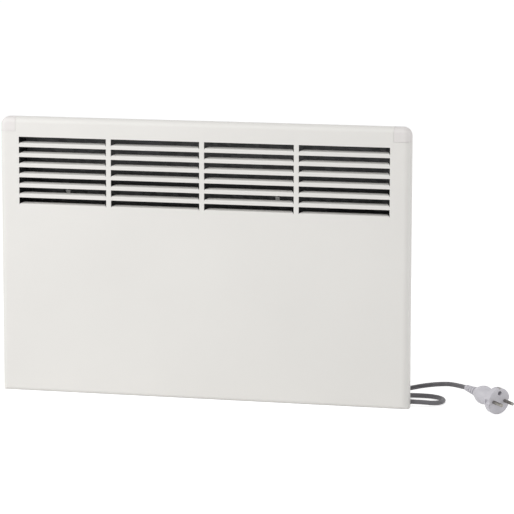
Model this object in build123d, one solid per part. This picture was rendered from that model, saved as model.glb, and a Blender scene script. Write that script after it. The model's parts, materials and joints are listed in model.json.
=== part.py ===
from build123d import *
from math import cos, pi, radians, sin, sqrt, tan
import os

# A wall panel convector heater that stands on its lower edge, in millimetres.
# X runs to the right, Y from the front panel to the wall and Z up.
# The origin is under the middle of the heater, on the surface that it stands on.

# Overall size
WIDTH = 585.0
HEIGHT = 389.0
FRONT_TO_WALL = 85.0
FRONT_Y = -FRONT_TO_WALL / 2
WALL_Y = FRONT_TO_WALL / 2

# Front panel: a sheet steel pan with a pressed grille
PAN_SHEET = 1.0
PAN_DEPTH = 16.0
PAN_ROLL_R = 8.5
PAN_SILL_R = 5.0
PAN_CORNER_R = 12.0
PAN_SIDE_LIP = 11.0
PAN_TOP_LIP = 8.0
PAN_BACK_Y = FRONT_Y + PAN_DEPTH

COLUMN_PITCH = 134.0
MULLION = 6.9
ROWS = 7
ROW_PITCH = 14.25
SLOT_HEIGHT = 10.0
FIRST_SLOT_DOWN = 32.8
GRILLE_MARGIN = 20.0
SLOT_LENGTH = COLUMN_PITCH - MULLION
COLUMNS = int((WIDTH - 2 * GRILLE_MARGIN) // COLUMN_PITCH)
GRILLE_LEFT = -(COLUMNS * COLUMN_PITCH - MULLION) / 2
TONGUE_TURN = 80.0
TONGUE_BEND_R = 1.5
TONGUE_END_GAP = 0.5
TONGUE_TAPER = 4.5

# Moulded corner caps
CAP_WIDTH = 23.0
CAP_HEIGHT = 20.0
CAP_WALL = 2.1
CAP_SEAM = 0.25
CAP_LAP = 4.0
LAP_GAP = 0.05

# Rear casing: a tray behind the pan
CASE_SHEET = 0.8
SIDE_RECESS = 16.0
TOP_RECESS = 10.0
WALL_GAP = 16.0
CASE_BEND_R = 3.0
RIM_EDGE = 1.5
PRESSING_RISE = 1.5
PRESSING_EDGE = 70.0
PRESSING_R = 20.0
CASE_X = WIDTH / 2 - SIDE_RECESS
CASE_TOP = HEIGHT - TOP_RECESS
CASE_BACK_Y = WALL_Y - WALL_GAP
CASE_INNER_X = CASE_X - CASE_SHEET
CASE_INNER_BACK = CASE_BACK_Y - CASE_SHEET
RIM_BACK_Y = PAN_BACK_Y + CASE_SHEET
CASE_MID_Y = (PAN_BACK_Y + CASE_BACK_Y) / 2
INLET_LENGTH = 36.0
INLET_WIDTH = 8.0
INLET_PITCH = 46.0
INLET_ROW_PITCH = 24.0

# Screws
SCREW_R = 1.6
SCREW_HEAD_R = 3.3
SCREW_HEAD = 1.8
SCREW_GAP = 0.1
CASING_SCREW_INSET = 6.5
SCREW_REACH = 4.0

# Heating chamber, and the wiring bay at its right
BAY_WIDTH = 106.0
BAY_X = CASE_X - BAY_WIDTH
BAFFLE_SHEET = 0.6
BAFFLE_GAP = 7.5
BAFFLE_LOW = 30.0
BAFFLE_DOWN = 109.0
BAFFLE_TOP = HEIGHT - BAFFLE_DOWN
BAFFLE_END_GAP = 12.0
BAFFLE_BACK_Y = CASE_INNER_BACK - BAFFLE_GAP
BAFFLE_FRONT_Y = BAFFLE_BACK_Y - BAFFLE_SHEET
BAFFLE_LEFT = -CASE_INNER_X + BAFFLE_END_GAP
BAFFLE_RIGHT = BAY_X - 2.0
GUIDE_RIGHT = CASE_INNER_X - CASE_BEND_R
GUIDE_FRONT_GAP = 6.0
GUIDE_LAP = 10.0
PARTITION_TOP = BAFFLE_TOP - GUIDE_LAP - 2.0
PARTITION_FLANGE = 10.0
CLIP_WIDTH = 6.0
CLIP_HEIGHT = 10.0
CLIP_SHEET = 1.0
CLIP_TAB = 4.0
CLIP_SPREAD = 305.0
CLIP_SHIFT = -11.0

# Heating element
ELEMENT_Y = -10.0
ELEMENT_Z = 95.0
ELEMENT_END_GAP = 24.0
ELEMENT_LEFT = -CASE_INNER_X + ELEMENT_END_GAP + 6.0
ELEMENT_RIGHT = BAY_X - ELEMENT_END_GAP
HUB_R = 7.0
WING_REACH = 30.0
WING_THICK = 2.2
RIB_HEIGHT = 3.0
RIB_THICK = 1.4
RIBS = 4
SHEATH_R = 4.0
SHEATH_GAP = 0.05
SHEATH_STICKS_OUT = 12.0
INSULATOR_R = 5.5
INSULATOR_LENGTH = 9.0
TERMINAL_R = 1.5
TERMINAL_LENGTH = 6.0
STAND_SHEET = 1.2
STAND_HEIGHT = 46.0
STAND_FOOT = 14.0
STAND_INSET = 3.0

# Overheat cut-out
CUTOUT_X = -40.0
CUTOUT_Z = 176.0
CUTOUT_R = 8.0
CUTOUT_DEPTH = 7.0
CUTOUT_FLANGE_R = 10.0
CUTOUT_FLANGE = 1.2

# Controls on the right end of the casing
PLATE_Y = CASE_MID_Y
PLATE_Z = 150.0
PLATE_WIDTH = 42.0
PLATE_HEIGHT = 122.0
PLATE_THICK = 2.0
PLATE_LIP = 3.0
PLATE_R = 5.0
DIAL_RISE = 30.0
DIAL_Z = PLATE_Z + DIAL_RISE
DIAL_R = 16.0
DIAL_HEIGHT = 6.4
DIAL_SKIRT = 2.0
DIAL_GAP = 0.4
DIAL_FLUTES = 24
DIAL_FLUTE_R = 1.0
DIAL_MARK_WIDTH = 1.2
DIAL_MARK_DEPTH = 0.6
SPINDLE_R = 3.0
SPINDLE_GAP = 0.06
SPINDLE_LENGTH = 18.0
THERMOSTAT_WIDTH = 30.0
THERMOSTAT_HEIGHT = 34.0
THERMOSTAT_DEPTH = 22.0
TAG_LENGTH = 7.0
ROCKER_DOWN = 12.0
ROCKER_Z = PLATE_Z - ROCKER_DOWN
ROCKER_LENGTH = 21.0
ROCKER_WIDTH = 9.0
ROCKER_TILT = 7.0
ROCKER_GAP = 0.6
ROCKER_PIN_R = 1.25
SWITCH_RIM = 2.0
SWITCH_DEPTH = 18.0
SWITCH_WALL = 1.2
SWITCH_FLANGE = 1.0
LENS_DOWN = 42.0
LENS_Z = PLATE_Z - LENS_DOWN
LENS_R = 3.5
LENS_DOME = 1.5

# Wiring bay
BLOCK_INSET = 48.0
BLOCK_X = BAY_X + BLOCK_INSET
BLOCK_Y = 6.0
BLOCK_LENGTH = 30.0
BLOCK_WIDTH = 18.0
BLOCK_HEIGHT = 16.0
POLES = 3
POLE_PITCH = 9.0
BLOCK_WELL = 5.6
BLOCK_NOTCH = 1.2
BLOCK_SCREW_R = 2.0
BLOCK_SCREW = 3.0
WIRE_R = 1.3
WIRE_BEND_R = 5.0
WIRE_REACH = 12.0
WIRE_DROP = 20.0
WIRE_BEHIND_Y = CASE_INNER_BACK - 3.5
RETURN_WIRE_Z = BAFFLE_LOW - 10.0
EARTH_Z = 34.0

# Mains lead
CORD_R = 3.25
GLAND_Y = -18.5
GLAND_Z = 7.0
GLAND_COLLAR_R = 6.2
GLAND_COLLAR = 2.5
GLAND_NECK_R = 4.8
GLAND_TAIL_R = 4.0
GLAND_OUTSIDE = 15.5
GLAND_INSIDE = 8.0
CLAMP_INSET = 28.0
CLAMP_X = CASE_X - CLAMP_INSET
CLAMP_LENGTH = 9.0
CLAMP_TOP = GLAND_Z + CORD_R + 2.5
CLAMP_SCREW_Y = GLAND_Y + CORD_R + 4.5
CORD_END = 26.0
CORD_END_X = BLOCK_X + CORD_END

COIL_X = 174.0
COIL_Y = 96.0
COIL_R = 43.0
COIL_GAP = 0.6
COIL_TURNS = 4.625
COIL_START = 270.0
TIE_SHEET = 0.8
TIE_WIDTH = 9.0
TIE_GAP = 0.2
COIL_LOW_Z = TIE_GAP + TIE_SHEET + CORD_R

# The loose stretches of the lead: points chosen along its way on the floor
LEAD_POINTS = [
    (308.6, -18.5, 7.0),
    (323.0, -10.6, 4.6),
    (331.3, 3.4, 3.7),
    (331.3, 20.0, 3.4),
    (323.0, 34.4, 3.4),
    (308.6, 42.7, 3.4),
    (288.0, 43.2, 3.4),
    (267.0, 38.5, 3.4),
    (245.0, 38.5, 3.4),
    (222.0, 48.0, 3.8),
    (200.0, 52.3, 4.2),
]
TAIL_POINTS = [
    (229.0, 104.5, 8.2),
    (250.0, 89.3, 3.6),
    (268.0, 76.6, 5.2),
    (287.0, 63.6, 12.1),
    (306.0, 51.0, 17.8),
    (325.0, 38.3, 22.4),
    (343.0, 25.1, 25.6),
]

# Plug
PLUG_X = 411.3
PLUG_Y = -35.7
PLUG_HEADING = -42.5
PLUG_TILT = 5.4
PLUG_R = 18.5
PLUG_DISC = 10.0
PLUG_DISC_ROUND = 1.5
PLUG_WAIST_R = 10.9
PLUG_WAIST_BACK = 9.0
PLUG_GRIP_R = 13.0
PLUG_GRIP_BACK = 24.0
PLUG_GRIP_END_R = 8.8
PLUG_GRIP = 36.0
PLUG_SLEEVE = 26.5
PLUG_SLEEVE_R = 7.4
PLUG_SLEEVE_MID_R = 5.5
PLUG_SLEEVE_END_R = 4.4
PLUG_GROOVE_R = 4.0
PLUG_GROOVE_STOP = 2.0
PIN_R = 2.4
PIN_LENGTH = 19.0
PIN_PITCH = 19.0
PIN_ROOT = 6.0
PIN_ROOT_R = 2.0
EARTH_HOLE_R = 3.2
EARTH_HOLE_RISE = 11.4
EARTH_HOLE_DEPTH = 8.0
EARTH_CLIP_WIDTH = 4.0
EARTH_CLIP_DEEP = 1.2
EARTH_CLIP_LENGTH = 7.0
FLOOR_GAP = 0.1

# Wall rail that the casing hangs on
RAIL_SHEET = 1.5
RAIL_LENGTH = 340.0
RAIL_DOWN = 43.0
RAIL_HEIGHT = 74.0
RAIL_TOP = CASE_TOP - RAIL_DOWN
RAIL_LOW = RAIL_TOP - RAIL_HEIGHT
RAIL_CASE_GAP = 0.5
RAIL_HOLE_R = 2.75
RAIL_HOLE_SPREAD = 240.0
RAIL_HOLE_RISE = 40.0
HOOK_SPREAD = 200.0
HOOK_WIDTH = 24.0
HOOK_RISE = 9.0
HOOK_GAP = 1.0
LATCH_SPREAD = 300.0
LATCH_R = 6.3
LATCH_HEIGHT = 8.0
LATCH_REACH = 14.0
LATCH_WIDTH = 7.0
LATCH_THICK = 3.0
LATCH_GAP = 0.3
LATCH_PIN_R = 2.5
LATCH_PIN_GAP = 0.06
LATCH_PIN_HEAD = 1.2
LATCH_SLOT = 1.6
LATCH_Y = (CASE_BACK_Y + WALL_Y - RAIL_SHEET) / 2
LATCH_ENTRY_GAP = 1.5

# Rubber pads that keep the lower edge off the wall
PAD_R = 9.0
PAD_INSET = 56.0
PAD_X = CASE_X - PAD_INSET
PAD_Z = 42.0
PAD_STEM_R = 3.0
PAD_STEM = 4.0
PAD_STEM_GAP = 0.1


def span_box(x, y, z):
    """A box between the low and high values on each axis"""
    low, high = zip(x, y, z)
    sizes = [b - a for a, b in zip(low, high)]
    middle = [(a + b) / 2 for a, b in zip(low, high)]
    return Pos(*middle) * Box(*sizes)


def rod_x(radius, x, y, z):
    """A round bar along X, between the two values of x"""
    return Pos((x[0] + x[1]) / 2, y, z) * Rot(0, 90, 0) * Cylinder(radius, x[1] - x[0])


def rod_y(radius, x, y, z):
    return Pos(x, (y[0] + y[1]) / 2, z) * Rot(90, 0, 0) * Cylinder(radius, y[1] - y[0])


def rod_z(radius, x, y, z):
    return Pos(x, y, (z[0] + z[1]) / 2) * Cylinder(radius, z[1] - z[0])


def edges_along(solid, axis, test):
    return [edge for edge in solid.edges().filter_by(axis) if test(edge.center())]


def spaced(count, pitch):
    """Places of so many things at one pitch, on both sides of zero"""
    return [(i - (count - 1) / 2) * pitch for i in range(count)]


def screw():
    """A pan head screw that points down, with the underside of its head at the origin"""
    head = Pos(0, 0, SCREW_HEAD / 2) * Cylinder(SCREW_HEAD_R, SCREW_HEAD)
    head = fillet(head.edges().group_by(Axis.Z)[-1], SCREW_HEAD * 0.4)
    recess = Box(SCREW_HEAD_R * 1.2, SCREW_HEAD_R * 0.3, SCREW_HEAD)
    recess = Pos(0, 0, SCREW_HEAD) * (recess + Rot(0, 0, 90) * recess)
    return head + rod_z(SCREW_R, 0, 0, (-SCREW_REACH, 0)) - recess


# ---- front panel ----

def pan_form(inset, back_y):
    """The pan's rolled outer form, drawn in by the inset on every side but the back"""
    half, base, top = WIDTH / 2 - inset, inset, HEIGHT - inset
    form = span_box((-half, half), (FRONT_Y + inset, back_y), (base, top))
    form = fillet(edges_along(form, Axis.Y, lambda c: c.Z > top - 1), PAN_CORNER_R - inset)
    front = form.faces().sort_by(Axis.Y)[0]
    rolled = [edge for edge in front.edges() if edge.center().Z > base + 1]
    form = fillet(rolled, PAN_ROLL_R - inset)
    sill = span_box((-WIDTH, WIDTH), (FRONT_Y + inset, back_y), (base, 2 * HEIGHT))
    edge = edges_along(sill, Axis.X, lambda c: c.Z < base + 1 and c.Y < FRONT_Y + inset + 1)
    return form & fillet(edge, PAN_SILL_R - inset)


def corner_region(side, grow):
    """The block that a corner cap takes up, on the left, -1, or the right, 1"""
    edge = side * WIDTH
    inner = side * (WIDTH / 2 - CAP_WIDTH - grow)
    x = (min(edge, inner), max(edge, inner))
    return span_box(x, (FRONT_Y - 1, PAN_BACK_Y + 1), (HEIGHT - CAP_HEIGHT - grow, HEIGHT + 1))


def tongue(length, base):
    """A tongue bent in from a slot's lower edge, whose ends taper towards its free edge"""
    turn = radians(TONGUE_TURN)
    inner_r = TONGUE_BEND_R - PAN_SHEET
    straight = SLOT_HEIGHT - turn * (TONGUE_BEND_R + inner_r) / 2
    step = Vector(straight * sin(turn), straight * cos(turn))

    def on_bend(radius, angle):
        return Vector(FRONT_Y + TONGUE_BEND_R - radius * cos(angle), base + radius * sin(angle))

    outer = [on_bend(TONGUE_BEND_R, angle) for angle in (0, turn / 2, turn)]
    inner = [on_bend(inner_r, angle) for angle in (turn, turn / 2, 0)]
    outline = [
        ThreePointArc(*outer),
        Line(outer[2], outer[2] + step),
        Line(outer[2] + step, inner[0] + step),
        Line(inner[0] + step, inner[0]),
        ThreePointArc(*inner),
        Line(inner[2], outer[0]),
    ]
    blade = extrude(Plane.YZ * make_face(outline), length)
    back_y = FRONT_Y + SLOT_HEIGHT
    plan = [(0, FRONT_Y), (length, FRONT_Y), (length - TONGUE_TAPER, back_y), (TONGUE_TAPER, back_y)]
    tapered = extrude(make_face(Polyline(*plan, close=True)), SLOT_HEIGHT)
    return blade & Pos(0, 0, base) * tapered


def slot_bases():
    first = HEIGHT - FIRST_SLOT_DOWN - SLOT_HEIGHT / 2
    return [first - row * ROW_PITCH for row in range(ROWS)]


def casing_screw_places():
    side = WIDTH / 2 - CASING_SCREW_INSET
    heights = [HEIGHT * share for share in (0.14, 0.5, 0.86)]
    return [(x, z) for x in (-side, side) for z in heights]


def front_panel():
    pan = pan_form(0, PAN_BACK_Y) - pan_form(PAN_SHEET, PAN_BACK_Y - PAN_SHEET)
    opening_x = WIDTH / 2 - PAN_SHEET - PAN_SIDE_LIP
    opening_z = (PAN_SHEET + PAN_TOP_LIP, HEIGHT - PAN_SHEET - PAN_TOP_LIP)
    pan -= span_box((-opening_x, opening_x), (PAN_BACK_Y - 2 * PAN_SHEET, PAN_BACK_Y + 1), opening_z)
    pan -= [corner_region(side, CAP_SEAM) for side in (-1, 1)]
    slots, tongues = [], []
    for column in range(COLUMNS):
        left = GRILLE_LEFT + column * COLUMN_PITCH
        for base in slot_bases():
            through = (FRONT_Y - 1, FRONT_Y + PAN_SHEET)
            slots.append(span_box((left, left + SLOT_LENGTH), through, (base, base + SLOT_HEIGHT)))
            blade = tongue(SLOT_LENGTH - 2 * TONGUE_END_GAP, base)
            tongues.append(Pos(left + TONGUE_END_GAP, 0, 0) * blade)
    pan = pan - slots + tongues
    holes = [
        rod_y(SCREW_R + SCREW_GAP, x, (PAN_BACK_Y - 2 * PAN_SHEET, PAN_BACK_Y + 1), z)
        for x, z in casing_screw_places()
    ]
    return pan - holes


def corner_cap(side):
    """A moulded corner, with a lap that sits behind the sheet's edge"""
    inside = pan_form(CAP_WALL, PAN_BACK_Y + 2)
    cap = (pan_form(0, PAN_BACK_Y) - inside) & corner_region(side, 0)
    lap = (pan_form(PAN_SHEET + LAP_GAP, PAN_BACK_Y - PAN_SHEET - LAP_GAP) - inside)
    return cap + (lap & corner_region(side, CAP_LAP))


# ---- rear casing ----

def inlet_slots():
    """Air inlets in the floor of the heating chamber"""
    left, right = -CASE_INNER_X + 8, BAY_X - 8
    count = int((right - left) // INLET_PITCH)
    middle = (left + right) / 2
    floor = (-1, CASE_SHEET + 1)
    slots = []
    for x in spaced(count, INLET_PITCH):
        for y in spaced(2, INLET_ROW_PITCH):
            at = (middle + x, CASE_MID_Y + y)
            spans = [(a - size / 2, a + size / 2) for a, size in zip(at, (INLET_LENGTH, INLET_WIDTH))]
            slot = span_box(*spans, floor)
            slots.append(fillet(slot.edges().filter_by(Axis.Z), INLET_WIDTH * 0.45))
    return slots


def latch_entry(side):
    """The slot in the casing's back that a latch turns into"""
    sweep = LATCH_REACH + LATCH_ENTRY_GAP
    near = LATCH_WIDTH / 2 + LATCH_ENTRY_GAP
    x = side * LATCH_SPREAD / 2
    span = (x - near, x + sweep) if side > 0 else (x - sweep, x + near)
    low = RAIL_TOP + LATCH_GAP - LATCH_ENTRY_GAP
    high = low + LATCH_THICK + 2 * LATCH_ENTRY_GAP
    return span_box(span, (CASE_INNER_BACK - 1, CASE_BACK_Y + 1), (low, high))


def hook_entry(x):
    half = HOOK_WIDTH / 2 + HOOK_GAP
    z = (RAIL_TOP - RAIL_SHEET - HOOK_GAP, RAIL_TOP + HOOK_RISE + HOOK_GAP)
    return span_box((x - half, x + half), (CASE_INNER_BACK - 1, CASE_BACK_Y + 1), z)


def plate_opening(grow):
    half_y, half_z = PLATE_WIDTH / 2 - PLATE_LIP + grow, PLATE_HEIGHT / 2 - PLATE_LIP + grow
    return (PLATE_Y - half_y, PLATE_Y + half_y), (PLATE_Z - half_z, PLATE_Z + half_z)


def back_pressing(rise, inset):
    """A shallow field pressed outward in the casing's back, which stiffens it"""
    x = (-CASE_X + PRESSING_EDGE + inset, CASE_X - PRESSING_EDGE - inset)
    z = (PRESSING_EDGE + inset, RAIL_LOW - PRESSING_EDGE / 2 - inset)
    field = span_box(x, (CASE_INNER_BACK, CASE_BACK_Y + rise), z)
    field = fillet(field.edges().filter_by(Axis.Y), PRESSING_R - inset)
    face = field.faces().sort_by(Axis.Y)[-1]
    return chamfer(face.edges(), rise * 0.9)


def rear_casing():
    tray = span_box((-CASE_X, CASE_X), (PAN_BACK_Y, CASE_BACK_Y), (0, CASE_TOP))
    back = tray.faces().sort_by(Axis.Y)[-1]
    tray = fillet(back.edges(), CASE_BEND_R)
    hollow = span_box(
        (-CASE_INNER_X, CASE_INNER_X),
        (PAN_BACK_Y - 1, CASE_INNER_BACK),
        (CASE_SHEET, CASE_TOP - CASE_SHEET),
    )
    back = hollow.faces().sort_by(Axis.Y)[-1]
    tray -= fillet(back.edges(), CASE_BEND_R - CASE_SHEET)
    rim_x = WIDTH / 2 - RIM_EDGE
    rim = span_box((-rim_x, rim_x), (PAN_BACK_Y, RIM_BACK_Y), (0, HEIGHT - RIM_EDGE))
    rim = fillet(edges_along(rim, Axis.Y, lambda c: c.Z > CASE_TOP), PAN_CORNER_R - RIM_EDGE)
    rim -= span_box(
        (-CASE_INNER_X, CASE_INNER_X),
        (PAN_BACK_Y - 1, RIM_BACK_Y + 1),
        (PAN_SHEET + PAN_TOP_LIP, CASE_TOP - CASE_SHEET),
    )
    casing = tray + rim + back_pressing(PRESSING_RISE, 0)
    casing -= back_pressing(PRESSING_RISE - CASE_SHEET, CASE_SHEET)
    cuts = inlet_slots()
    cuts += [latch_entry(side) for side in (-1, 1)]
    cuts += [hook_entry(x) for x in spaced(2, HOOK_SPREAD)]
    cuts += [
        rod_y(SCREW_R + SCREW_GAP, x, (PAN_BACK_Y - 1, RIM_BACK_Y + 1), z)
        for x, z in casing_screw_places()
    ]
    through_back = (CASE_INNER_BACK - 1, CASE_BACK_Y + 1)
    cuts += [rod_y(PAD_STEM_R + PAD_STEM_GAP, x, through_back, PAD_Z) for x in (-PAD_X, PAD_X)]
    cuts.append(span_box((CASE_INNER_X - 1, CASE_X + 1), *plate_opening(0.2)))
    cuts.append(rod_x(GLAND_NECK_R + SCREW_GAP, (CASE_INNER_X - 1, CASE_X + 1), GLAND_Y, GLAND_Z))
    return casing - cuts


def casing_screws():
    turned = Rot(-90, 0, 0) * screw()
    return Compound([Pos(x, RIM_BACK_Y, z) * turned for x, z in casing_screw_places()])


def wall_pads():
    """Each pad has a stem that is pressed through the casing's back"""
    pads = []
    for x in (-PAD_X, PAD_X):
        pad = rod_y(PAD_R, x, (CASE_BACK_Y, WALL_Y), PAD_Z)
        pad = chamfer(pad.edges().group_by(Axis.Y)[-1], 1.5)
        pad += rod_y(PAD_STEM_R, x, (CASE_BACK_Y - PAD_STEM, CASE_BACK_Y), PAD_Z)
        pads.append(pad)
    return Compound(pads)


# ---- inside the heating chamber ----

def bent_sheet(points, thickness, x):
    """A sheet along X that follows the points, given as y and z, on their right-hand side"""
    line = Polyline(*points)
    outline = trace(line, thickness)
    return extrude(Plane((x[0], 0, 0), x_dir=(0, 1, 0), z_dir=(1, 0, 0)) * outline, x[1] - x[0])


def spacer_places():
    inset = 30.0
    xs = (BAFFLE_LEFT + inset, BAFFLE_RIGHT - inset)
    zs = (BAFFLE_LOW + inset / 2, BAFFLE_TOP - inset)
    return [(x, z) for x in xs for z in zs]


def rear_baffle():
    """The shield that keeps the casing's back cool"""
    plate = span_box((BAFFLE_LEFT, BAFFLE_RIGHT), (BAFFLE_FRONT_Y, BAFFLE_BACK_Y), (BAFFLE_LOW, BAFFLE_TOP))
    foot = (BAFFLE_FRONT_Y - 8, BAFFLE_FRONT_Y)
    plate += span_box((BAFFLE_LEFT, BAFFLE_RIGHT), foot, (BAFFLE_LOW, BAFFLE_LOW + BAFFLE_SHEET))
    through = (BAFFLE_FRONT_Y - 1, BAFFLE_BACK_Y + 1)
    holes = [rod_y(SCREW_R + SCREW_GAP, x, through, z) for x, z in spacer_places()]
    return plate - holes


def baffle_spacers():
    """Ceramic spacers between the baffle and the casing"""
    spacers = []
    for x, z in spacer_places():
        tube = rod_y(5, x, (BAFFLE_BACK_Y, CASE_INNER_BACK), z)
        spacers.append(tube - rod_y(SCREW_R + SCREW_GAP, x, (BAFFLE_BACK_Y - 1, CASE_INNER_BACK + 1), z))
    return Compound(spacers)


def baffle_screws():
    turned = Rot(90, 0, 0) * screw()
    return Compound([Pos(x, BAFFLE_FRONT_Y, z) * turned for x, z in spacer_places()])


def guide_line():
    """The air guide in section: up the baffle, over to the grille's top, and down a lip"""
    front = PAN_BACK_Y + GUIDE_FRONT_GAP
    y = BAFFLE_FRONT_Y - BAFFLE_SHEET
    top = CASE_TOP - CASE_SHEET - 3.0
    return [(y, BAFFLE_TOP - GUIDE_LAP), (y, BAFFLE_TOP + 4), (front, top), (front, top - 6)]


def air_guide():
    """The sheet that turns the warm air forward to the grille"""
    return bent_sheet(guide_line(), BAFFLE_SHEET, (BAFFLE_LEFT, GUIDE_RIGHT))


def guide_clips():
    """Bright spring clips that hold the air guide to the baffle"""
    middle = (BAFFLE_LEFT + BAFFLE_RIGHT) / 2 + CLIP_SHIFT
    y = BAFFLE_FRONT_Y - 1.5 * BAFFLE_SHEET
    clips = []
    for x in spaced(2, CLIP_SPREAD):
        across = (middle + x - CLIP_WIDTH / 2, middle + x + CLIP_WIDTH / 2)
        clip = span_box(across, (y - CLIP_SHEET, y), (BAFFLE_TOP - CLIP_HEIGHT, BAFFLE_TOP))
        tab = span_box(across, (y - CLIP_TAB, y), (BAFFLE_TOP, BAFFLE_TOP + CLIP_SHEET))
        clips.append(clip + tab)
    return Compound(clips)


def partition():
    """The wall and the roof that keep the warm air out of the wiring bay"""
    y = (RIM_BACK_Y + 2, CASE_INNER_BACK)
    wall = span_box((BAY_X, BAY_X + CASE_SHEET), y, (CASE_SHEET, PARTITION_TOP))
    wall += span_box((BAY_X, BAY_X + PARTITION_FLANGE), y, (CASE_SHEET, 2 * CASE_SHEET))
    wall += span_box((BAY_X, GUIDE_RIGHT), y, (PARTITION_TOP - CASE_SHEET, PARTITION_TOP))
    corner = (CASE_INNER_BACK - CASE_BEND_R, CASE_INNER_BACK + 1)
    wall -= span_box((BAY_X - 1, GUIDE_RIGHT + 1), corner, (0, CASE_SHEET + CASE_BEND_R))
    through = (BAY_X - 1, BAY_X + PARTITION_FLANGE + 1)
    wall -= rod_x(INSULATOR_R + 0.5, through, ELEMENT_Y, ELEMENT_Z)
    wall -= rod_x(WIRE_R + 0.5, through, WIRE_BEHIND_Y, RETURN_WIRE_Z)
    return wall - rod_x(SCREW_R + SCREW_GAP, through, pole_ys()[2], EARTH_Z)


def element_profile():
    """An extruded aluminium body: a hub with four ribbed wings in a cross"""
    wing = Pos(WING_REACH / 2, 0) * Rectangle(WING_REACH, WING_THICK)
    for i in range(RIBS):
        at = HUB_R + (i + 0.5) * (WING_REACH - HUB_R) / RIBS
        wing += Pos(at, 0) * Rectangle(RIB_THICK, 2 * RIB_HEIGHT + WING_THICK)
    section = Circle(HUB_R)
    for angle in (35, 145, 215, 325):
        section += Rot(0, 0, angle) * wing
    section -= Circle(SHEATH_R + SHEATH_GAP)
    place = Plane((ELEMENT_LEFT, ELEMENT_Y, ELEMENT_Z), x_dir=(0, 0, 1), z_dir=(1, 0, 0))
    return extrude(place * section, ELEMENT_RIGHT - ELEMENT_LEFT)


def sheath_span():
    return ELEMENT_LEFT - SHEATH_STICKS_OUT, ELEMENT_RIGHT + SHEATH_STICKS_OUT


def element_tube():
    return rod_x(SHEATH_R, sheath_span(), ELEMENT_Y, ELEMENT_Z)


def element_insulators():
    left, right = sheath_span()
    spans = [(left - INSULATOR_LENGTH, left), (right, right + INSULATOR_LENGTH)]
    return Compound([rod_x(INSULATOR_R, span, ELEMENT_Y, ELEMENT_Z) for span in spans])


def terminal_spans():
    left, right = sheath_span()
    left, right = left - INSULATOR_LENGTH, right + INSULATOR_LENGTH
    return (left - TERMINAL_LENGTH, left), (right, right + TERMINAL_LENGTH)


def element_terminals():
    return Compound([rod_x(TERMINAL_R, span, ELEMENT_Y, ELEMENT_Z) for span in terminal_spans()])


def element_stand(side):
    """A steel plate on the baffle that the element's sheath passes through"""
    if side < 0:
        x = (ELEMENT_LEFT - STAND_INSET - STAND_SHEET, ELEMENT_LEFT - STAND_INSET)
        foot_x = (x[0], x[0] + STAND_FOOT)
    else:
        x = (ELEMENT_RIGHT + STAND_INSET, ELEMENT_RIGHT + STAND_INSET + STAND_SHEET)
        foot_x = (x[1] - STAND_FOOT, x[1])
    z = (ELEMENT_Z - STAND_HEIGHT / 2, ELEMENT_Z + STAND_HEIGHT / 2)
    plate = span_box(x, (ELEMENT_Y - 2.2 * SHEATH_R, BAFFLE_FRONT_Y), z)
    front = edges_along(plate, Axis.X, lambda c: c.Y < ELEMENT_Y)
    plate = fillet(front, 2 * SHEATH_R)
    plate += span_box(foot_x, (BAFFLE_FRONT_Y - STAND_SHEET, BAFFLE_FRONT_Y), z)
    return plate - rod_x(SHEATH_R + 0.2, (x[0] - 1, x[1] + 1), ELEMENT_Y, ELEMENT_Z)


def thermal_cutout():
    """A disc cut-out with two tags, that opens if the air above the element is too hot"""
    back = BAFFLE_FRONT_Y
    body = rod_y(CUTOUT_R, CUTOUT_X, (back - CUTOUT_DEPTH, back), CUTOUT_Z)
    body += rod_y(CUTOUT_FLANGE_R, CUTOUT_X, (back - CUTOUT_FLANGE, back), CUTOUT_Z)
    for x in spaced(2, CUTOUT_R):
        at = CUTOUT_X + x
        tag_y = (back - CUTOUT_DEPTH - 6, back - CUTOUT_DEPTH)
        body += span_box((at - 0.4, at + 0.4), tag_y, (CUTOUT_Z - 3, CUTOUT_Z + 3))
    return body


def cutout_strap():
    """A spring strap that presses the cut-out's flange to the baffle"""
    y = (BAFFLE_FRONT_Y - CUTOUT_FLANGE - 0.8, BAFFLE_FRONT_Y - CUTOUT_FLANGE)
    reach, rise = CUTOUT_FLANGE_R + 8, CUTOUT_FLANGE_R + 2
    x, z = (CUTOUT_X - reach, CUTOUT_X + reach), (CUTOUT_Z - rise, CUTOUT_Z + rise)
    strap = span_box(x, y, z)
    for end in (x[0], x[1] - 4):
        strap += span_box((end, end + 4), (y[0], BAFFLE_FRONT_Y), z)
    return strap - rod_y(CUTOUT_R + 0.3, CUTOUT_X, (y[0] - 1, y[1] + 1), CUTOUT_Z)


# ---- controls ----

PLATE_FACE_X = CASE_X + PLATE_THICK


def control_plate():
    """The moulded plate that fills the opening in the casing's right end"""
    half_y, half_z = PLATE_WIDTH / 2, PLATE_HEIGHT / 2
    z = (PLATE_Z - half_z, PLATE_Z + half_z)
    plate = span_box((CASE_X, PLATE_FACE_X), (PLATE_Y - half_y, PLATE_Y + half_y), z)
    plate = fillet(plate.edges().filter_by(Axis.X), PLATE_R)
    face = plate.faces().sort_by(Axis.X)[-1]
    plate = fillet(face.edges(), PLATE_THICK * 0.6)
    inner = span_box((CASE_INNER_X - 4, CASE_X), *plate_opening(0))
    inner -= span_box((CASE_INNER_X - 5, CASE_X), *plate_opening(-1.6))
    plate += inner
    through = (CASE_X - 1, PLATE_FACE_X + 1)
    plate -= rod_x(SPINDLE_R + SPINDLE_GAP, through, PLATE_Y, DIAL_Z)
    switch_y, switch_z = switch_spans(0.1)
    plate -= span_box(through, switch_y, switch_z)
    return plate - rod_x(LENS_R + 0.1, through, PLATE_Y, LENS_Z)


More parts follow.
